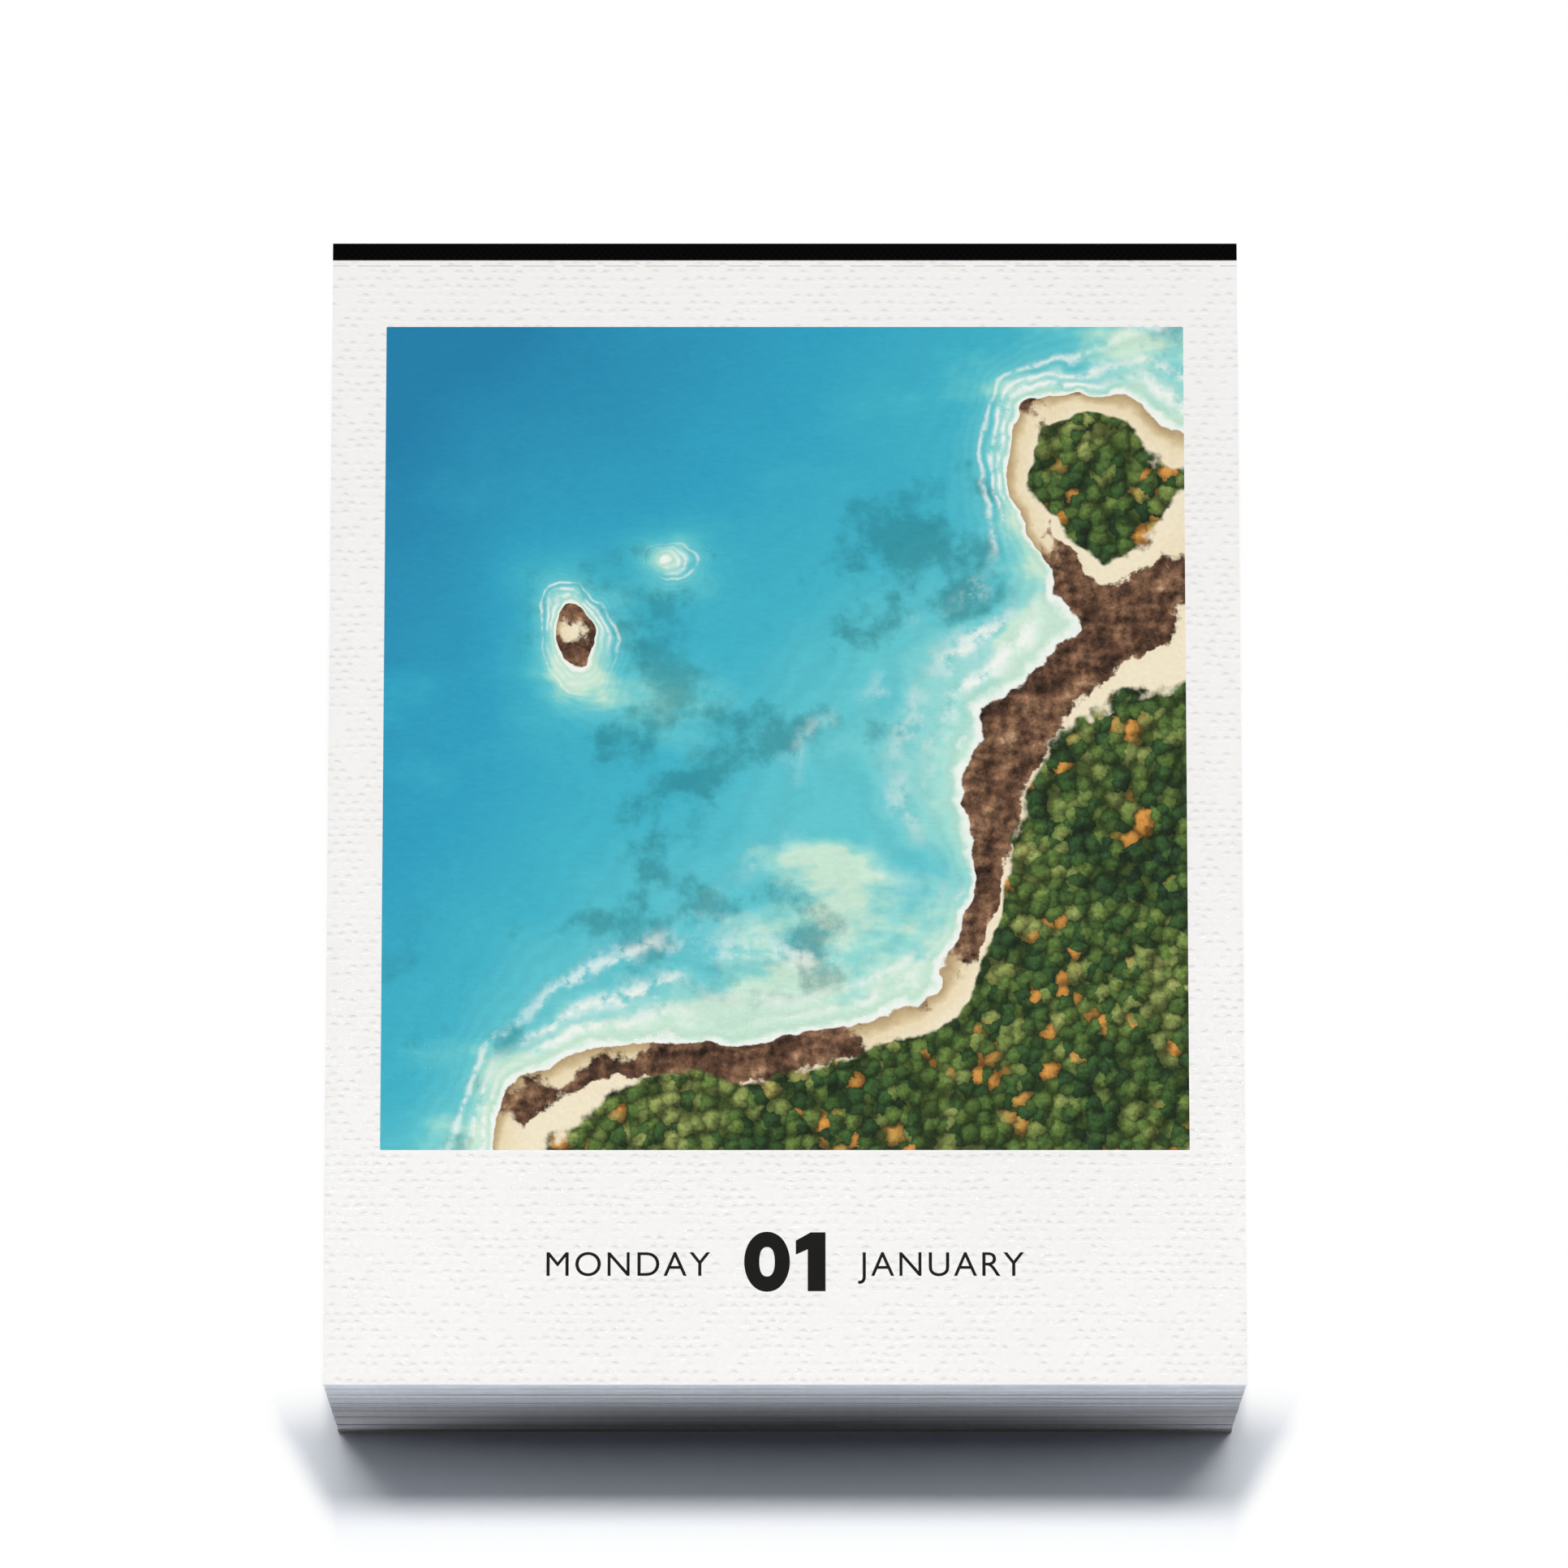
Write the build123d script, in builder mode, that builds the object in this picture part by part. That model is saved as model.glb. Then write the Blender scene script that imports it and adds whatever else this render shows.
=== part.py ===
"""A tear-off day calendar: a year of leaves, glued and taped at the head, on a die-cut chipboard back.

It lies on its back: +Z comes out of the printed front, +Y points to the taped head, +X to the right.
The origin is the centre of the back, on the surface that the calendar lies on. Sizes are millimetres.
"""

import os

from build123d import *

# Leaves
leaf_width = 110.0
leaf_height = 139.5  # head to foot, with the stub that stays in the binding
leaf_thickness = 0.11
leaves_in_month = {
    "january": 31,
    "february": 28,
    "march": 31,
    "april": 30,
    "may": 31,
    "june": 30,
    "july": 31,
    "august": 31,
    "september": 30,
    "october": 31,
    "november": 30,
    "december": 31,
}
first_month = "january"
single_leaves = 7  # the first week's leaves, each a piece of its own

# Tear line: a row of cuts across each leaf, with paper ties between them
bend_line_drop = 0.3  # from the tape's lower edge to the line that a lifted leaf bends along
tear_line_drop = 0.4  # from the bend line to the cuts
tear_cut_length = 4.0
tear_cut_width = 0.05
tear_tie_width = 1.0

# Binding at the head
glue_thickness = 0.3
tape_thickness = 0.2
tape_front_lap = 2.1  # the black band on the front, measured from the top of the head
tape_back_lap = 10.0

# Back board, its hanging hole and its easel leg
board_thickness = 2.0
hanging_hole_diameter = 7.0
hanging_hole_drop = 22.0  # from the leaves' head to the hole's centre
crease_drop = 16.0  # from the hole's centre to the easel leg's crease
leg_crease_width = 46.0
leg_end_width = 34.0
leg_end_radius = 4.0
leg_foot_margin = 6.0  # board left below the leg's end
die_cut_gap = 0.4

# Places that follow from those sizes
leaf_count = sum(leaves_in_month.values())
block_front = board_thickness + leaf_count * leaf_thickness
overall_height = leaf_height + glue_thickness + tape_thickness
foot = -overall_height / 2
head = foot + leaf_height
tape_inside = head + glue_thickness
tape_outside = tape_inside + tape_thickness
tape_front_edge = tape_outside - tape_front_lap
tape_back_edge = tape_outside - tape_back_lap
bend_line = tape_front_edge - bend_line_drop
tear_cut_top = bend_line - tear_line_drop
tear_line = tear_cut_top - tear_cut_width / 2
front_leaf_head = tear_cut_top - tear_cut_width
front_leaf_back = block_front - leaf_thickness
tie_pitch = tear_cut_length + tear_tie_width
tie_count = int(leaf_width // tie_pitch)
hanging_hole_y = head - hanging_hole_drop
crease = hanging_hole_y - crease_drop
leg_end = foot + leg_foot_margin

FLAT_ON_PLANE = (Align.CENTER, Align.CENTER, Align.MIN)
os.makedirs("parts", exist_ok=True)


def save(piece, name):
    """Labels a finished piece and writes it as one STEP file."""
    piece.label = name
    export_step(piece, f"parts/{name}.step")


def flat_stock(back, front, low=foot, high=head):
    """Paper or board as wide as the leaves, between two depths and two heights on the calendar."""
    with BuildPart(Plane.XY.offset(back)) as stock:
        with Locations((0, (low + high) / 2)):
            Box(leaf_width, high - low, front - back, align=FLAT_ON_PLANE)
    return stock.part


def leg_outline(gap):
    """The easel leg's outline, grown by a gap on every side but its crease."""
    with BuildSketch() as outline:
        with BuildLine():
            Polyline(
                (-leg_crease_width / 2 - gap, crease),
                (leg_crease_width / 2 + gap, crease),
                (leg_end_width / 2 + gap, leg_end - gap),
                (-leg_end_width / 2 - gap, leg_end - gap),
                close=True,
            )
        make_face()
        end_corners = outline.vertices().group_by(Axis.Y)[0]
        fillet(end_corners, leg_end_radius + gap)
    return outline.sketch


# Back board: chipboard with the leg's window, the hanging hole and a seat that the tape is pressed into
board_blank = flat_stock(0, board_thickness)
leg_window = leg_outline(die_cut_gap)
with BuildPart() as back_board:
    add(board_blank)
    extrude(leg_window, amount=board_thickness, mode=Mode.SUBTRACT)
    with Locations((0, hanging_hole_y, board_thickness)):
        Hole(hanging_hole_diameter / 2, board_thickness)
    with BuildSketch():
        with Locations((0, (tape_back_edge + head) / 2)):
            Rectangle(leaf_width, head - tape_back_edge)
    extrude(amount=tape_thickness, mode=Mode.SUBTRACT)
save(back_board.part, "back_board")

# Easel leg: the board's own die-cut tongue, folding out about the crease in its rear face
leg_face = leg_outline(0)
with BuildPart() as easel_leg:
    extrude(leg_face, amount=board_thickness)
save(easel_leg.part, "easel_leg")

# Head glue: the film of padding adhesive across the heads of the board and of every leaf
save(flat_stock(tape_thickness, block_front, low=head, high=tape_inside), "head_glue")

# Binding tape: one strip folded round the head, from the front leaf's stub to the back of the board
with BuildPart() as binding_tape:
    with BuildSketch(Plane.YZ.offset(-leaf_width / 2)):
        with BuildLine():
            Polyline(
                (tape_front_edge, block_front),
                (tape_inside, block_front),
                (tape_inside, tape_thickness),
                (tape_back_edge, tape_thickness),
                (tape_back_edge, 0),
                (tape_outside, 0),
                (tape_outside, block_front + tape_thickness),
                (tape_front_edge, block_front + tape_thickness),
                close=True,
            )
        make_face()
    extrude(amount=leaf_width)
    folds = binding_tape.edges().filter_by(Axis.X).group_by(Axis.Y)[-1]
    fillet(folds, tape_thickness)
save(binding_tape.part, "binding_tape")

# Front leaf: the sheet that tears off, and the stub that stays under the tape
save(flat_stock(front_leaf_back, block_front, high=front_leaf_head), "front_leaf")
save(flat_stock(front_leaf_back, block_front, low=bend_line), "front_leaf_stub")

# Perforated edge: the stub's free edge, which bends with a lifted leaf, and the ties that hold the leaf
edge_strip = flat_stock(front_leaf_back, block_front, low=tear_cut_top, high=bend_line)
with BuildPart() as perforated_edge:
    add(edge_strip)
    with BuildSketch(Plane.XY.offset(front_leaf_back)):
        with Locations((0, tear_line)):
            with GridLocations(tie_pitch, 0, tie_count, 1):
                Rectangle(tear_tie_width, tear_cut_width)
    extrude(amount=leaf_thickness)
save(perforated_edge.part, "perforated_edge")

# The rest of the first week: whole leaves, each with its row of tear cuts
for day in range(2, single_leaves + 1):
    with BuildPart() as day_leaf:
        with BuildSketch(Plane.XY.offset(block_front - day * leaf_thickness)):
            with Locations((0, (foot + head) / 2)):
                Rectangle(leaf_width, leaf_height)
            with Locations((0, tear_line)):
                Rectangle(leaf_width, tear_cut_width, mode=Mode.SUBTRACT)
                with GridLocations(tie_pitch, 0, tie_count, 1):
                    Rectangle(tear_tie_width, tear_cut_width)
        extrude(amount=leaf_thickness)
    save(day_leaf.part, f"day_leaf_{day:02d}")

# The months' leaves behind the first week, flat on each other, with the last month against the board
leaf_back = board_thickness
for month, leaves in reversed(leaves_in_month.items()):
    month_leaves = []
    for leaf in range(leaves - single_leaves if month == first_month else leaves):
        leaf_front = leaf_back + leaf_thickness
        month_leaves.append(flat_stock(leaf_back, leaf_front).solid())
        leaf_back = leaf_front
    save(Compound(month_leaves), f"{month}_leaves")
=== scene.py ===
"""The looks of a tear-off day calendar: printed leaves, cut paper edges, black tape and a chipboard back.

Everything is in metres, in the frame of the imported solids: +Z comes out of the printed front, +Y points
to the taped head, +X to the right, and the back lies on the floor at Z = 0.
"""

import math
import random

import bmesh
import bpy
from mathutils import Matrix, Vector


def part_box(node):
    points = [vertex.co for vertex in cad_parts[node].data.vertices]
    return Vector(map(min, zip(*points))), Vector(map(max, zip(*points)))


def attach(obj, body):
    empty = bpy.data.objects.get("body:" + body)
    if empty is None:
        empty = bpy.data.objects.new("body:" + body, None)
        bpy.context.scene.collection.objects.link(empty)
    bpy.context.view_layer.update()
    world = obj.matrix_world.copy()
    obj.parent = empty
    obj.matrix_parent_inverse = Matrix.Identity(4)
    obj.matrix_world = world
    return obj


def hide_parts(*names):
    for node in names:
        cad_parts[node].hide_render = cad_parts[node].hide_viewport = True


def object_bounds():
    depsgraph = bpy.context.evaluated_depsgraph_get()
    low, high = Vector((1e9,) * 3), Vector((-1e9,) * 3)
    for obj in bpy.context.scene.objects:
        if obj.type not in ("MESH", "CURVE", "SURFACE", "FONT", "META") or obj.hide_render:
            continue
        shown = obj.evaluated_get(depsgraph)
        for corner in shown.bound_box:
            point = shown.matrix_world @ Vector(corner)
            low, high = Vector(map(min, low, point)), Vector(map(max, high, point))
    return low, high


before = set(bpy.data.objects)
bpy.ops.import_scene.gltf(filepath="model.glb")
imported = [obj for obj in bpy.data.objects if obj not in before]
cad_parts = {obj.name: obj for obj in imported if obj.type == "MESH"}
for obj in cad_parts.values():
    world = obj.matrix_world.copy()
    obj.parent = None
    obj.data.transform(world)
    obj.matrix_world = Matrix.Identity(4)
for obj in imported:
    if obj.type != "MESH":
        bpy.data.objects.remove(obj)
cad_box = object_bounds()

MM = 0.001
WHITE = (1.0, 1.0, 1.0, 1.0)
BLACK = (0.0, 0.0, 0.0, 1.0)
HEAD_UP = Vector((0, 1, 0))
FRONT_UP = Vector((0, 0, 1))
dice = random.Random(365)

# Leaves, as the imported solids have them
leaf_low, leaf_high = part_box("front_leaf")
next_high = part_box("day_leaf_02")[1]
leaf_thickness = leaf_high.z - leaf_low.z

# Picture on a leaf
picture_left = -48.4 * MM
picture_right = 48.4 * MM
picture_foot = -41.75 * MM
picture_head = 59.55 * MM
picture_corner_radius = 0.15 * MM

# Date line under the picture
words_foot = -56.94 * MM
words_height = 2.84 * MM
weekday_right = -8.9 * MM
month_left = 8.7 * MM
figures_foot = -58.79 * MM
figures_height = 7.1 * MM
figures_gap = 0.7 * MM

# Ink, as thin solids. On the second leaf it is thinner, because the front leaf lies on it.
print_thickness = 0.008 * MM
second_print_thickness = 0.002 * MM


# Shader helpers

def linear(level):
    """A screen level of 0 to 255 as a linear level of 0 to 1."""
    level /= 255
    return level / 12.92 if level <= 0.04045 else ((level + 0.055) / 1.055) ** 2.4


def ink(red, green, blue):
    """A screen colour of 0 to 255 as the linear colour that a shader takes."""
    return (linear(red), linear(green), linear(blue), 1.0)


class Wire:
    """One output of a node. Python's operators on it add Math nodes."""

    def __init__(self, finish, socket):
        self.finish = finish
        self.socket = socket

    def maths(self, operation, *others):
        return self.finish.node("ShaderNodeMath", {"operation": operation}, [self, *others])

    def after(self, operation, other):
        return self.finish.node("ShaderNodeMath", {"operation": operation}, [other, self])

    def __add__(self, other):
        return self.maths("ADD", other)

    def __sub__(self, other):
        return self.maths("SUBTRACT", other)

    def __mul__(self, other):
        return self.maths("MULTIPLY", other)

    def __truediv__(self, other):
        return self.maths("DIVIDE", other)

    def __gt__(self, other):
        return self.maths("GREATER_THAN", other)

    def __lt__(self, other):
        return self.maths("LESS_THAN", other)

    def __radd__(self, other):
        return self.after("ADD", other)

    def __rsub__(self, other):
        return self.after("SUBTRACT", other)

    def __rmul__(self, other):
        return self.after("MULTIPLY", other)

    def __rtruediv__(self, other):
        return self.after("DIVIDE", other)

    def __neg__(self):
        return self.maths("MULTIPLY", -1.0)

    def __abs__(self):
        return self.maths("ABSOLUTE")


def set_stops(elements, stops):
    """Gives a colour ramp its stops, each a place and a colour."""
    for number, (place, colour) in enumerate(stops):
        stop = elements[number] if number < len(elements) else elements.new(1.0)
        stop.position = place
        stop.color = colour


class Finish:
    """A material, or the world, and short calls for its nodes. Constant settings are given by socket."""

    def __init__(self, name, constants=None, kind="materials", shader="Principled BSDF"):
        self.data = getattr(bpy.data, kind).new(name)
        self.data.use_nodes = True
        self.tree = self.data.node_tree
        self.shader = self.tree.nodes[shader]
        for socket, value in (constants or {}).items():
            self.shader.inputs[socket].default_value = value
        self.place = self.node("ShaderNodeTexCoord", output="Object" if kind == "materials" else "Generated")
        self.x, self.y, self.z = (self.part(self.place, axis) for axis in "XYZ")

    def node(self, kind, settings=None, values=(), output=0):
        """Adds a node, sets it up, feeds its inputs by order or by name, and gives one of its outputs."""
        made = self.tree.nodes.new(kind)
        for name, value in (settings or {}).items():
            if name == "stops":
                set_stops(made.color_ramp.elements, value)
            else:
                setattr(made, name, value)
        for key, value in values.items() if isinstance(values, dict) else enumerate(values):
            if isinstance(value, Wire):
                self.tree.links.new(value.socket, made.inputs[key])
            else:
                made.inputs[key].default_value = value
        return Wire(self, made.outputs[output])

    def feed(self, socket, wire):
        self.tree.links.new(wire.socket, self.shader.inputs[socket])

    def part(self, vector, axis):
        return self.node("ShaderNodeSeparateXYZ", values=[vector], output=axis)

    def point(self, x, y, z=0.0):
        return self.node("ShaderNodeCombineXYZ", values=[x, y, z])

    def noise(self, place, scale, detail=2.0, roughness=0.5):
        values = {"Vector": place, "Scale": scale, "Detail": detail, "Roughness": roughness}
        return self.node("ShaderNodeTexNoise", values=values)

    def chance(self, dimensions, values):
        """A number of 0 to 1 that is different in each place."""
        return self.node("ShaderNodeTexWhiteNoise", {"noise_dimensions": dimensions}, values)

    def step(self, value, low, high):
        """0 up to low, 1 from high on, smooth between. Low may also be the larger of the two."""
        values = {"Value": value, "From Min": low, "From Max": high, "To Min": 0.0, "To Max": 1.0}
        return self.node("ShaderNodeMapRange", {"interpolation_type": "SMOOTHSTEP"}, values)

    def hump(self, value, width):
        """1 where the value is 0, fading out at about a width to each side."""
        share = value / width
        return (-(share * share)).maths("EXPONENT")

    def mix(self, share, first, second):
        """A blend of two colours. They are inputs 6 and 7 and output 2 of the node."""
        settings = {"data_type": "RGBA", "blend_type": "MIX"}
        return self.node("ShaderNodeMix", settings, {0: share, 6: first, 7: second}, 2)

    def ramp(self, value, stops):
        return self.node("ShaderNodeValToRGB", {"stops": stops}, [value])

    def shade(self, colour, level):
        """The colour times a brightness level."""
        start = colour if isinstance(colour, Wire) else colour[:3]
        return self.node("ShaderNodeVectorMath", {"operation": "SCALE"}, {"Vector": start, "Scale": level})

    def bump(self, height, depth):
        """Presses a height of 0 to 1 into the surface, as deep as that many metres."""
        values = {"Height": height, "Distance": depth, "Strength": 1.0}
        self.feed("Normal", self.node("ShaderNodeBump", values=values, output="Normal"))


# Paper

def paper(name, printed=None):
    """White drawing paper with a felt-pressed grain. On its cut edges each leaf has a tone of its own."""
    row_step = 1.0 * MM
    dent_step = 1.5 * MM
    grain_depth = 0.15 * MM
    finish = Finish(name, {"Roughness": 0.9, "Specular IOR Level": 0.0})
    facing = finish.part(finish.node("ShaderNodeTexCoord", output="Normal"), "Z")
    pressed = finish.step(abs(facing), 0.5, 0.9)

    # The grain is rows of short curved dents of uneven depth. Every other row is shifted by half a step.
    sway = finish.noise(finish.place, 350.0) - 0.5
    up = finish.y / row_step + sway * 0.9
    row = up.maths("FLOOR")
    along = finish.x / dent_step + (row * 0.5).maths("FRACT") + sway * 0.5
    deep = finish.chance("2D", {"Vector": finish.point(along.maths("FLOOR"), row)})
    across_dent = along.maths("FRACT") - 0.5
    down_dent = up.maths("FRACT") - 0.5 + across_dent * across_dent * 0.9
    dented = finish.hump(across_dent, 0.30) * finish.step(deep, 0.0, 0.8) * pressed
    pits_and_shade = finish.hump(down_dent, 0.19) * dented
    rims_and_highlight = finish.hump(down_dent + 0.34, 0.16) * dented
    fibres = finish.noise(finish.place, 4200.0, 3.0)
    finish.bump(0.8 - pits_and_shade * 0.8 + rims_and_highlight * 0.2 + fibres * 0.04, grain_depth)

    # Each cut edge has a tone and knife nicks. Dark streaks that come and go where leaves part a little are
    # painted shade.
    leaf = ((finish.z - leaf_low.z) / leaf_thickness).maths("FLOOR")
    tone = finish.chance("1D", {"W": leaf}) - 0.5
    nicks = finish.noise(finish.point(finish.x, finish.y, finish.z * 0.03), 1500.0, 3.0) - 0.5
    drawn_out = finish.point(finish.x * 0.004, finish.y * 0.004, leaf * leaf_thickness)
    painted_gap_shade = finish.step(finish.noise(drawn_out, 1700.0), 0.59, 0.665)
    edges = (tone * 0.07 + nicks * 0.05 - 0.01 - painted_gap_shade * 0.42) * (1.0 - pressed)

    cloud = finish.noise(finish.place, 34.0, 3.0)
    # Darker pits and lighter rims in the colour are painted shade and painted highlight, beside the bump.
    level = 0.965 + cloud * 0.05 - pits_and_shade * 0.035 + rims_and_highlight * 0.06 + edges
    colour = finish.shade(ink(245.5, 244, 242), level)
    finish.feed("Base Color", printed(finish, colour) if printed else colour)
    return finish


# Pictures

class Coast:
    """An aerial view of a made-up coast: blue water over shoals, foam, pale sand, brown rock and trees.

    Places run from 0 to 1 across the picture. The ground is a height over the water, and depth is minus it.
    A chart gives the ground's slope across and up, its start, and mounds by place, size and height. A mound
    with a height below zero is a cove. The chart's rock makes more of the shore rocky, or less.
    """

    # Breakers: the depth that each runs along, its width in depth and its strength
    breakers = ((0.045, 0.012, 1.0), (0.082, 0.011, 0.9), (0.130, 0.009, 0.7))
    layer_step = 3.7
    rock_light_step = 0.006
    crown_light_step = 0.004
    crowns_per_width = 58.0

    def __init__(self, finish, chart):
        width = picture_right - picture_left
        self.finish = finish
        self.chart = chart
        self.u = (finish.x - picture_left) / width
        self.v = (finish.y - picture_foot) / width
        self.ground = self.lie_of_the_land()
        self.depth = -self.ground
        self.murk = self.noise(3, 3.6, 6.0, 0.6) - 0.5
        self.lace = self.noise(6, 38.0, 6.0, 0.65) - 0.5
        self.grove = self.noise(11, 4.0, 5.0, 0.6)

    def at(self, layer, du=0.0, dv=0.0, stretch=1.0):
        """The place on the picture, in a noise layer of its own."""
        return self.finish.point(
            self.u + du, (self.v + dv) * stretch, self.chart["seed"] + layer * self.layer_step)

    def noise(self, layer, scale, detail, roughness=0.5, **moved):
        return self.finish.noise(self.at(layer, **moved), scale, detail, roughness)

    def lie_of_the_land(self):
        """The ground: a slope bent by noise, with coves and islets."""
        finish = self.finish
        x = self.u + (self.noise(0, 2.2, 5.0) - 0.5) * 0.30
        y = self.v + (self.noise(1, 2.2, 5.0) - 0.5) * 0.30
        across, up, start = self.chart["slope"]
        ground = x * across + y * up + start
        for middle_u, middle_v, size, lift in self.chart["mounds"]:
            ground = ground + lift * finish.hump(x - middle_u, size) * finish.hump(y - middle_v, size)
        return ground + (self.noise(2, 7.0, 8.0, 0.62) - 0.5) * 0.10

    def water(self):
        """Water, pale over shoals and bars, with darker weed, swell that follows the shore and ripples."""
        finish = self.finish
        depth = self.depth
        bars = finish.step(self.noise(19, 3.1, 5.0, 0.55, stretch=1.8), 0.50, 0.72)
        colour = finish.ramp(depth * 1.15 + self.murk * 0.16 - bars * 0.22, [
            (0.0, ink(196, 228, 208)),
            (0.05, ink(148, 214, 206)),
            (0.13, ink(96, 194, 202)),
            (0.28, ink(64, 176, 196)),
            (0.5, ink(46, 158, 190)),
            (0.85, ink(30, 126, 168)),
        ])
        weed = finish.step(self.noise(4, 8.0, 6.0, 0.6), 0.54, 0.66)
        weed = weed * finish.step(depth, 0.05, 0.11) * (1.0 - finish.step(depth, 0.22, 0.42))
        colour = finish.mix(weed * 0.55, colour, ink(30, 112, 120))
        swell = ((depth + self.murk * 0.05) * 210.0).maths("SINE") * (1.0 - finish.step(depth, 0.1, 0.4))
        ripple = self.noise(5, 95.0, 4.0, 0.6, stretch=2.6) - 0.5
        return finish.shade(colour, 1.0 + swell * 0.035 + ripple * 0.22)

    def foam(self):
        """The share of foam on the water: a lace at the water's edge and breakers off the shore."""
        finish = self.finish
        broken = finish.step(self.noise(7, 5.0, 3.0), 0.36, 0.56) * finish.step(self.lace, -0.14, 0.06)
        foam = (1.0 - finish.step(self.depth + self.lace * 0.05, 0.004, 0.022)) * 0.95
        ragged_depth = self.depth + self.murk * 0.035 + self.lace * 0.02
        for middle, reach, strength in self.breakers:
            foam = foam + finish.hump(ragged_depth - middle, reach) * broken * strength
        return foam.maths("MINIMUM", 1.0)

    def sand(self):
        """Sand, wet and brown by the water, dry and pale above it."""
        grit = self.noise(8, 160.0, 4.0, 0.7)
        colour = self.finish.ramp(self.ground * 8.0 + self.lace * 0.2, [
            (0.0, ink(176, 150, 112)),
            (0.16, ink(204, 182, 140)),
            (0.3, ink(232, 216, 180)),
            (0.8, ink(240, 228, 200)),
        ])
        return self.finish.shade(colour, 0.86 + grit * 0.28)

    def rock(self):
        """Brown rock, lit from the upper left."""
        crag = self.noise(9, 26.0, 7.0, 0.66)
        move = self.rock_light_step
        towards_light = self.noise(9, 26.0, 7.0, 0.66, du=-move, dv=move)
        colour = self.finish.ramp(crag, [
            (0.28, ink(40, 28, 22)),
            (0.45, ink(86, 60, 44)),
            (0.6, ink(126, 94, 70)),
            (0.78, ink(184, 158, 128)),
        ])
        return self.finish.shade(colour, 1.0 + (crag - towards_light) * 5.0)

    def trees(self):
        """Trees as ragged crowns lit from the upper left, a few of them turned orange."""
        finish = self.finish
        ragged_u, ragged_v = ((self.noise(layer, 60.0, 3.0, 0.6) - 0.5) * 0.022 for layer in (16, 17))

        def crown(move, output):
            place = self.at(10, ragged_u - move, ragged_v + move)
            values = {"Vector": place, "Scale": self.crowns_per_width}
            return finish.node("ShaderNodeTexVoronoi", values=values, output=output)

        from_middle = crown(0.0, "Distance")
        lit = crown(self.crown_light_step, "Distance") - from_middle
        chance = finish.node("ShaderNodeSeparateColor", values=[crown(0.0, "Color")])
        leaves = self.noise(12, 190.0, 4.0, 0.7) - 0.5
        colour = finish.ramp(chance * 0.35 + self.grove * 0.65 + leaves * 0.25, [
            (0.25, ink(30, 52, 34)),
            (0.42, ink(54, 84, 42)),
            (0.56, ink(92, 116, 54)),
            (0.75, ink(152, 160, 92)),
        ])
        turned = finish.step(chance + self.noise(18, 6.0, 2.0) * 0.5, 1.16, 1.22)
        colour = finish.mix(turned * 0.85, colour, ink(206, 138, 62))
        gaps = finish.step(from_middle + leaves * 0.3, 0.34, 0.78)
        return finish.shade(colour, (0.84 + lit * 1.3 + leaves * 1.1) * (1.0 - gaps * 0.62))

    def land(self):
        """Sand, with rock along some of the shore and trees behind a beach of changing width."""
        finish = self.finish
        rocky = finish.step(self.noise(13, 3.0, 4.0) + self.lace * 0.12 + self.chart["rock"], 0.52, 0.54)
        rock_edge = self.ground + (self.noise(20, 40.0, 5.0, 0.65) - 0.5) * 0.05
        rocky = rocky * (1.0 - finish.step(rock_edge, 0.083, 0.089))
        beach = 0.05 + finish.step(self.noise(14, 2.4, 3.0), 0.35, 0.65) * 0.09
        tree_edge = self.ground + (self.grove - 0.5) * 0.08 + (self.noise(15, 30.0, 4.0) - 0.5) * 0.05
        wooded = finish.step(tree_edge - beach, 0.0, 0.012)
        return finish.mix(wooded, finish.mix(rocky, self.sand(), self.rock()), self.trees())

    def colour(self):
        finish = self.finish
        sea = finish.mix(self.foam(), self.water(), ink(240, 244, 238))
        ashore = finish.step(self.ground + self.lace * 0.006, -0.002, 0.002)
        return finish.mix(ashore, sea, self.land())


# Charts of the two coasts
first_chart = {
    "seed": 4.0,
    "rock": 0.02,
    "slope": (0.72, -0.62, -0.20),
    "mounds": [
        (0.60, 0.26, 0.15, -0.20),
        (0.30, 0.05, 0.12, 0.16),
        (0.24, 0.60, 0.075, 0.50),
        (0.37, 0.70, 0.04, 0.36),
        (0.86, 0.86, 0.10, 0.34),
    ],
}
second_chart = {
    "seed": 61.0,
    "rock": -0.04,
    "slope": (-0.55, 0.70, -0.32),
    "mounds": [
        (0.35, 0.80, 0.16, -0.22),
        (0.72, 0.36, 0.08, 0.42),
        (0.10, 0.45, 0.12, 0.12),
    ],
}


def picture_print():
    """The front leaf's picture, in matt ink."""
    finish = Finish("coast_print", {"Roughness": 0.6, "Specular IOR Level": 0.06})
    finish.feed("Base Color", Coast(finish, first_chart).colour())
    return finish


def second_print(finish, blank):
    """Prints the second picture on the front of a leaf, inside its border."""
    across = (finish.x > picture_left) * (finish.x < picture_right)
    inside = across * (finish.y > picture_foot) * (finish.y < picture_head)
    front = finish.z > next_high.z - 0.01 * MM
    return finish.mix(inside * front, blank, Coast(finish, second_chart).colour())


# Other finishes

def plain_ink():
    finish = Finish("black_ink", {"Roughness": 0.7, "Specular IOR Level": 0.03})
    grain = finish.noise(finish.place, 3000.0, 3.0)
    finish.feed("Base Color", finish.shade(ink(27, 27, 25), 0.85 + grain * 0.3))
    return finish


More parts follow.
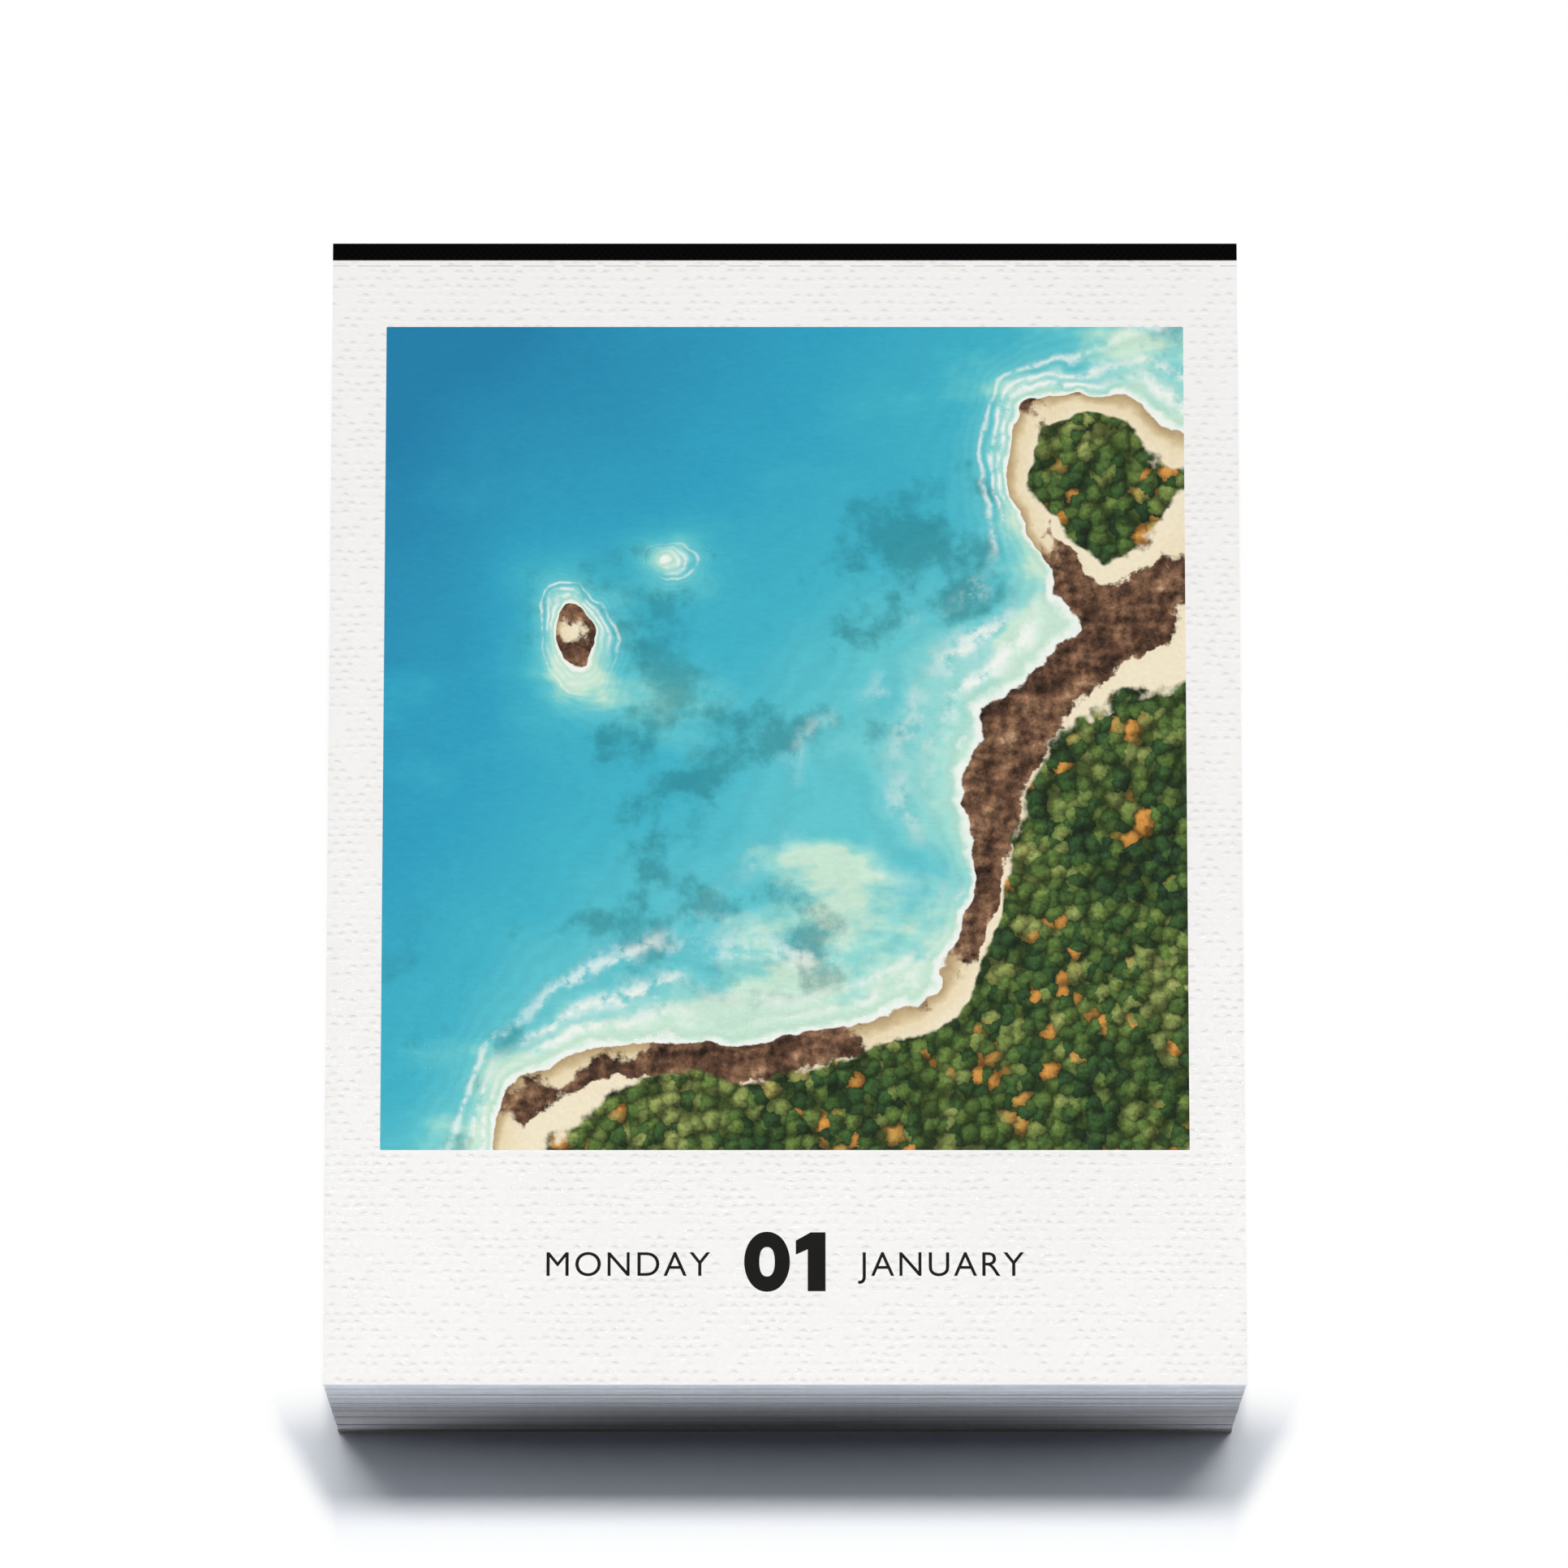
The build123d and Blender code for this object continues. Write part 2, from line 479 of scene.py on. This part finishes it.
def black_cloth():
    """Black bookbinding cloth tape: a plain weave under a dull coat."""
    weave_step_across = 0.8 * MM
    weave_step_along = 0.9 * MM
    fuzz_size = 0.1 * MM
    weave_depth = 0.08 * MM
    sheen = {"Sheen Weight": 0.16, "Sheen Roughness": 0.45}
    finish = Finish("black_cloth", {"Specular IOR Level": 0.01, **sheen})
    fuzz = finish.noise(finish.place, 1600.0, 3.0)
    across = (finish.x + fuzz * fuzz_size) / weave_step_across
    along = (finish.y + finish.z + fuzz * fuzz_size) / weave_step_along
    weave = (across * math.tau).maths("SINE") * (along * math.tau).maths("SINE")
    finish.bump(weave * 0.5 + fuzz * 0.6, weave_depth)
    finish.feed("Roughness", 0.72 + fuzz * 0.25)
    # The weave also lightens the colour on the raised threads and darkens it between them: painted
    # highlight.
    finish.feed("Base Color", finish.shade(ink(6, 6, 7), 0.5 + fuzz * 0.7 + weave * 0.45))
    return finish


def grey_chipboard():
    """Grey board pressed from mixed waste paper, with short darker and paler fibres."""
    score_width = 0.4 * MM
    rear_skin = 0.1 * MM
    grain_depth = 0.18 * MM
    finish = Finish("grey_chipboard", {"Roughness": 0.9, "Specular IOR Level": 0.2})
    pulp = finish.noise(finish.place, 900.0, 6.0, 0.65)
    patch = finish.noise(finish.place, 60.0, 3.0)
    colour = finish.ramp(pulp * 0.8 + patch * 0.2, [
        (0.3, ink(134, 127, 116)),
        (0.5, ink(150, 143, 131)),
        (0.7, ink(164, 157, 146)),
    ])
    dark = finish.step(finish.noise(finish.point(finish.x * 0.3, finish.y, finish.z), 3200.0), 0.62, 0.72)
    pale_place = finish.point(finish.x, finish.y * 0.3, finish.z + 0.5)
    pale = finish.step(finish.noise(pale_place, 2700.0), 0.62, 0.72)
    colour = finish.mix(dark * 0.5, colour, ink(84, 78, 72))
    colour = finish.mix(pale * 0.45, colour, ink(210, 204, 193))

    # The score that the leg folds about is pressed into the rear face along the leg's upper edge.
    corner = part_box("easel_leg")[1]
    on_crease = (finish.z < rear_skin) * (abs(finish.x) < corner.x)
    score = finish.hump(finish.y - corner.y, score_width) * on_crease
    # The colour is darker along the score: painted shade in the crease.
    finish.feed("Base Color", finish.shade(colour, 1.0 - score * 0.45))
    finish.bump(pulp * 0.16 - dark * 0.07 - score * 0.8, grain_depth)
    return finish


def padding_glue():
    """Milky padding glue with brush marks."""
    brush_depth = 0.05 * MM
    finish = Finish("padding_glue", {"Specular IOR Level": 0.4})
    brushed = finish.noise(finish.point(finish.x * 0.08, finish.y, finish.z), 1800.0, 4.0)
    finish.feed("Roughness", 0.35 + brushed * 0.3)
    finish.feed("Base Color", finish.ramp(brushed, [(0.3, ink(226, 218, 196)), (0.7, ink(240, 234, 218))]))
    finish.bump(brushed, brush_depth)
    return finish


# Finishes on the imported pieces
leaf_paper = paper("leaf_paper")
printed_paper = paper("printed_leaf", second_print)
coast_print = picture_print()
letter_ink = plain_ink()
chipboard = grey_chipboard()
other_finishes = {
    "day_leaf_02": printed_paper,
    "binding_tape": black_cloth(),
    "back_board": chipboard,
    "easel_leg": chipboard,
    "head_glue": padding_glue(),
}
for name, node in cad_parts.items():
    node.data.materials.clear()
    node.data.materials.append(other_finishes.get(name, leaf_paper).data)


# Mesh helpers

def set_out(name, data):
    """A new object in the scene."""
    made = bpy.data.objects.new(name, data)
    bpy.context.scene.collection.objects.link(made)
    return made


def mesh_of(name, bm):
    """The bmesh as a mesh. The bmesh is used up."""
    mesh = bpy.data.meshes.new(name)
    bm.to_mesh(mesh)
    bm.free()
    return mesh


def paper_piece(name, bm, body, finish):
    """A new piece of the leaves, with its place in its mesh, riding a body of the frame."""
    bmesh.ops.recalc_face_normals(bm, faces=bm.faces)
    made = set_out(name, mesh_of(name, bm))
    made.data.materials.append(finish.data)
    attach(made, body)
    return made


def add_block(bm, low, high):
    """A box between two corners."""
    size = Matrix.Diagonal(high - low).to_4x4()
    bmesh.ops.create_cube(bm, size=1.0, matrix=Matrix.Translation((low + high) / 2) @ size)


def flat_solid(curve):
    """A flat curve or text as a solid 1 thick, standing on z = 0. The curve is used up."""
    merge_distance = 1e-5
    curve.extrude = 0.5
    holder = set_out(curve.name, curve)
    bpy.context.view_layer.update()
    mesh = bpy.data.meshes.new_from_object(holder.evaluated_get(bpy.context.evaluated_depsgraph_get()))
    bpy.data.objects.remove(holder)
    bm = bmesh.new()
    bm.from_mesh(mesh)
    bpy.data.meshes.remove(mesh)
    bmesh.ops.remove_doubles(bm, verts=bm.verts, dist=merge_distance)
    for vert in bm.verts:
        vert.co.z = 0.0 if vert.co.z < 0 else 1.0
    return bm


def joined(parts):
    """Several bmeshes as one. They are used up."""
    whole = bmesh.new()
    for part in parts:
        mesh = mesh_of("part", part)
        whole.from_mesh(mesh)
        bpy.data.meshes.remove(mesh)
    return whole


# Stacked leaves

def settled_leaves():
    """For leaf after leaf, how far it has crept in at the foot, left and right, and its share of the pitch.

    Bundles of leaves move together. Between some of them lie a few that are loose and let a dark slot show.
    """
    while True:
        loose = dice.random() < 0.3
        count = dice.choice((1, 1, 2, 2, 3)) if loose else dice.randint(5, 30)
        share = dice.uniform(0.3, 0.6) if loose else 0.97
        foot = dice.uniform(0.15, 0.4) if loose else dice.uniform(0.0, 0.16)
        most_at_side = 0.16 if loose else 0.06
        left = dice.uniform(0.0, most_at_side)
        right = dice.uniform(0.0, most_at_side)
        for leaf in range(count):
            yield [(creep + dice.uniform(0.0, 0.03)) * MM for creep in (foot, left, right)], share


def stack_leaves(month, settled):
    """The leaves of a month as thin sheets that don't lie quite flush, in place of the exact stack."""
    low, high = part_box(month + "_leaves")
    count = round((high.z - low.z) / leaf_thickness)
    pitch = (high.z - low.z) / count
    bm = bmesh.new()
    for number in range(count):
        (foot, left, right), share = next(settled)
        bottom = low.z + pitch * number
        top = bottom + pitch * share
        add_block(bm, Vector((low.x + left, low.y + foot, bottom)), Vector((high.x - right, high.y, top)))
    made = paper_piece(month + "_sheets", bm, "block", leaf_paper)
    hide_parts(month + "_leaves")


settled = settled_leaves()
for month in [name.removesuffix("_leaves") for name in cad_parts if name.endswith("_leaves")]:
    stack_leaves(month, settled)


# Print on the leaves

def lettering(body, cap_height, weight, tracking):
    """Text as a flat solid 1 thick, from x = 0 on the base line y = 0. The weight thickens its strokes."""
    font_cap_height = 0.682
    curve = bpy.data.curves.new("lettering", "FONT")
    curve.body = body
    curve.offset = weight
    curve.space_character = tracking
    curve.resolution_u = 6
    bm = flat_solid(curve)
    left = min(vert.co.x for vert in bm.verts)
    scale = cap_height / (font_cap_height + 2 * weight)
    bmesh.ops.translate(bm, verts=bm.verts, vec=(-left, weight, 0.0))
    bmesh.ops.scale(bm, verts=bm.verts, vec=(scale, scale, 1.0))
    return bm


def draw_nought(curve):
    """An outer and an inner ring. The outer one is about 1 high and starts at x = 0."""
    outer_half_width = 0.385
    for half_width, half_height in ((outer_half_width, 0.51), (0.13, 0.25)):
        ring = curve.splines.new("BEZIER")
        ring.bezier_points.add(3)
        for point, (x, y) in zip(ring.bezier_points, ((-1, 0), (0, 1), (1, 0), (0, -1))):
            point.co = (outer_half_width + x * half_width, 0.5 + y * half_height, 0.0)
            point.handle_left_type = "AUTO"
            point.handle_right_type = "AUTO"
        ring.use_cyclic_u = True


def draw_one(curve):
    """A stem with a slanted flag, 1 high, starting at x = 0."""
    corners = ((0.20, 0.0), (0.50, 0.0), (0.50, 1.0), (0.25, 1.0), (0.0, 0.86), (0.0, 0.62), (0.20, 0.71))
    stem = curve.splines.new("POLY")
    stem.points.add(len(corners) - 1)
    for point, (x, y) in zip(stem.points, corners):
        point.co = (x, y, 0.0, 1.0)
    stem.use_cyclic_u = True


def heavy_figure(figure, height):
    """A heavy figure as a flat solid 1 thick, starting at x = 0 on the base line y = 0."""
    drawn = {"0": draw_nought, "1": draw_one}
    if figure not in drawn:
        return lettering(figure, height, weight=0.07, tracking=1.0)
    curve = bpy.data.curves.new("figure", "CURVE")
    curve.dimensions = "2D"
    curve.fill_mode = "BOTH"
    curve.resolution_u = 10
    drawn[figure](curve)
    bm = flat_solid(curve)
    bmesh.ops.scale(bm, verts=bm.verts, vec=(height, height, 1.0))
    return bm


def right_end(bm):
    return max(vert.co.x for vert in bm.verts)


def print_date(name, weekday, number, month, low, thickness, body):
    """The line under the picture: the weekday, a heavy day number and the month."""
    parts = []

    def set_down(bm, left, foot):
        bmesh.ops.scale(bm, verts=bm.verts, vec=(1.0, 1.0, thickness))
        bmesh.ops.translate(bm, verts=bm.verts, vec=(left, foot, low))
        parts.append(bm)

    weekday_word, month_word = (
        lettering(word, words_height, weight=-0.003, tracking=1.13) for word in (weekday, month))
    set_down(weekday_word, weekday_right - right_end(weekday_word), words_foot)
    set_down(month_word, month_left, words_foot)
    figures = [heavy_figure(figure, figures_height) for figure in number]
    widths = [right_end(figure) for figure in figures]
    left = -(sum(widths) + figures_gap * (len(widths) - 1)) / 2
    for figure, width in zip(figures, widths):
        set_down(figure, left, figures_foot)
        left += width + figures_gap
    paper_piece(name, joined(parts), body, letter_ink)


def print_picture():
    """The front leaf's picture as a sheet of ink with rounded corners."""
    bm = bmesh.new()
    low = Vector((picture_left, picture_foot, leaf_high.z))
    high = Vector((picture_right, picture_head, leaf_high.z + print_thickness))
    add_block(bm, low, high)
    heights = {edge: abs(edge.verts[0].co.z - edge.verts[1].co.z) for edge in bm.edges}
    corners = [edge for edge, height in heights.items() if height > print_thickness / 2]
    bmesh.ops.bevel(bm, geom=corners, offset=picture_corner_radius, segments=3, profile=0.5,
                    affect="EDGES", material=-1)
    paper_piece("front_picture", bm, "front_leaf", coast_print)


print_picture()
print_date("front_date", "MONDAY", "01", "JANUARY", leaf_high.z, print_thickness, "front_leaf")
print_date("second_date", "TUESDAY", "02", "JANUARY", next_high.z, second_print_thickness, "block")


# Floor and sky

def in_view(finish):
    """1 for what the camera sees, straight, mirrored or through something clear."""
    kinds = ("Camera", "Glossy", "Transmission")
    camera, glossy, clear = (finish.node("ShaderNodeLightPath", output=f"Is {kind} Ray") for kind in kinds)
    return camera.maths("MAXIMUM", glossy).maths("MAXIMUM", clear)


def floor_shown(finish):
    """The floor in view: white, with the shadow by the foot and a narrow one along the other edges."""
    low, high = cad_box
    beside = (abs(finish.x) - high.x).maths("MAXIMUM", 0.0)
    beyond = (finish.y - high.y).maths("MAXIMUM", 0.0)
    before = (low.y - finish.y).maths("MAXIMUM", 0.0)
    at_foot = finish.step(finish.y, low.y + 6.0 * MM, low.y - 2.0 * MM)
    past_sides = finish.step(beside + beyond, 0.3 * MM, 2.5 * MM) * (1.0 - at_foot)
    past_shadow = finish.step(beside * 1.4 + before * 0.8, 6.5 * MM, 12.5 * MM)
    shadowed = finish.node("ShaderNodeBsdfDiffuse", values=[(0.90, 0.945, 1.0, 1.0)])
    white = finish.node("ShaderNodeEmission", values=[WHITE, 1.0])
    in_the_open = past_shadow.maths("MAXIMUM", past_sides)
    return finish.node("ShaderNodeMixShader", values=[in_the_open, shadowed, white])


def floor_bounce(finish):
    """What the floor throws back: full light, but none in front of the foot save a patch by each corner."""
    foot = cad_box[0].y
    patch_strength = 1.8
    aside = abs(finish.x)
    in_front = finish.step(finish.y, foot + 4.0 * MM, foot - 4.0 * MM)
    in_front = in_front * finish.step(finish.y, foot - 500.0 * MM, foot - 300.0 * MM)
    in_front = in_front * finish.step(aside, 130.0 * MM, 90.0 * MM)
    patches = finish.step(aside, 46.0 * MM, 54.0 * MM) * finish.step(aside, 95.0 * MM, 65.0 * MM)
    thrown = 1.0 - in_front * (1.0 - patch_strength * patches)
    dark = finish.node("ShaderNodeBsdfDiffuse", values=[BLACK])
    brightest = (patch_strength * 0.86, patch_strength * 0.90, patch_strength, 1.0)
    bright = finish.node("ShaderNodeBsdfDiffuse", values=[brightest])
    return finish.node("ShaderNodeMixShader", values=[thrown / patch_strength, dark, bright])


def floor_finish():
    """A pale floor. Seen from below it isn't there, so the calendar's back shows."""
    finish = Finish("floor")
    seen = in_view(finish)
    behind = finish.node("ShaderNodeNewGeometry", output="Backfacing")
    lit = finish.node("ShaderNodeMixShader", values=[seen, floor_bounce(finish), floor_shown(finish)])
    clear = finish.node("ShaderNodeBsdfTransparent")
    whole = finish.node("ShaderNodeMixShader", values=[seen * behind, lit, clear])
    finish.tree.links.new(whole.socket, finish.tree.nodes["Material Output"].inputs["Surface"])
    finish.tree.nodes.remove(finish.shader)
    return finish


def add_floor():
    """A floor with an opening under the calendar, just smaller than its outline."""
    low, high = cad_box
    half_width = 2.0
    drop = 0.02 * MM
    inset = Vector((0.05 * MM, 0.05 * MM, 0.0))
    bm = bmesh.new()
    level = Matrix.Translation((0, 0, -drop))
    bmesh.ops.create_grid(bm, x_segments=1, y_segments=1, size=half_width, matrix=level)
    for place in (low + inset, high - inset):
        for normal in ((1, 0, 0), (0, 1, 0)):
            everything = bm.verts[:] + bm.edges[:] + bm.faces[:]
            bmesh.ops.bisect_plane(bm, geom=everything, plane_co=place, plane_no=normal)
    middles = {face: face.calc_center_median() for face in bm.faces}
    under = [face for face, at in middles.items() if low.x < at.x < high.x and low.y < at.y < high.y]
    bmesh.ops.delete(bm, geom=under, context="FACES")
    floor = set_out("floor", mesh_of("floor", bm))
    floor.data.materials.append(floor_finish().data)


def add_sky():
    """Soft bluish light from above, fading out to the foot's side, and a plain one from below.

    In view it is white.
    """
    finish = Finish("studio", kind="worlds", shader="Background")
    below = (0.9, 0.9, 0.9, 1.0)
    half_way_up = (0.018, 0.021, 0.026, 1.0)
    zenith = (0.105, 0.117, 0.14, 1.0)
    light = finish.ramp(finish.z * 0.5 + 0.5, [
        (0.0, below), (0.46, below), (0.5, BLACK), (0.75, half_way_up), (1.0, zenith)])
    ahead = finish.step(-finish.y, 0.15, 0.65) * (finish.z > 0.0)
    finish.feed("Color", finish.mix(in_view(finish), finish.shade(light, 1.0 - ahead), WHITE))
    bpy.context.scene.world = finish.data


# Lamps and camera

def aimed(place, target, up):
    """The matrix of a camera or lamp that looks at a target, with that direction up in its picture."""
    back = (place - target).normalized()
    right = up.cross(back).normalized()
    return Matrix.Translation(place) @ Matrix((right, back.cross(right), back)).transposed().to_4x4()


def overhead(tilt):
    """A place high over the front, leaning that many degrees towards the head, aimed at the front."""
    distance = 2.5
    lean = math.radians(tilt)
    middle = Vector((0, 0, leaf_high.z))
    return aimed(middle + distance * Vector((0, math.sin(lean), math.cos(lean))), middle, HEAD_UP)


def at_foot_edge(dip):
    """A place before the foot, that many degrees over the front's plane, aimed at the foot's upper edge."""
    distance = 0.5
    lift = math.radians(dip)
    edge = Vector((0, leaf_low.y, leaf_high.z))
    return aimed(edge + distance * Vector((0, -math.cos(lift), math.sin(lift))), edge, FRONT_UP)


def add_lamp(name, matrix, width, depth, watts, colour, spread=180.0):
    light = bpy.data.lights.new(name, "AREA")
    light.shape = "RECTANGLE"
    light.size = width
    light.size_y = depth
    light.energy = watts
    light.color = colour
    light.spread = math.radians(spread)
    lamp = set_out(name, light)
    lamp.matrix_world = matrix
    lamp.visible_camera = False


def add_camera():
    """A long lens, looking at the front from over the foot."""
    distance = 1.2
    elevation = math.radians(78.645)
    target = Vector((-0.10, 2.886, 42.15)) * MM
    camera = bpy.data.cameras.new("camera")
    camera.sensor_width = 36.0
    camera.lens = 228.77
    camera.clip_start = 0.05
    camera.clip_end = 20.0
    viewer = set_out("camera", camera)
    place = target + distance * Vector((0, -math.cos(elevation), math.sin(elevation)))
    viewer.matrix_world = aimed(place, target, HEAD_UP)
    bpy.context.scene.camera = viewer


add_floor()
add_sky()

# The key throws the short shadow at the foot, the fill brightens it from its outer edge, and the strip
# grazes the foot's upper edge.
add_lamp("key", overhead(11.5), width=1.2, depth=0.24, watts=52.3, colour=(1.0, 0.985, 0.965))
add_lamp("fill", overhead(4.4), width=1.2, depth=0.38, watts=8.3, colour=(0.93, 0.96, 1.0))
add_lamp("strip", at_foot_edge(12.0), width=0.4, depth=0.012, watts=0.0213,
         colour=(0.79, 0.87, 1.0), spread=6.1)
add_camera()
bpy.context.scene.view_settings.view_transform = "Standard"

bpy.context.view_layer.update()
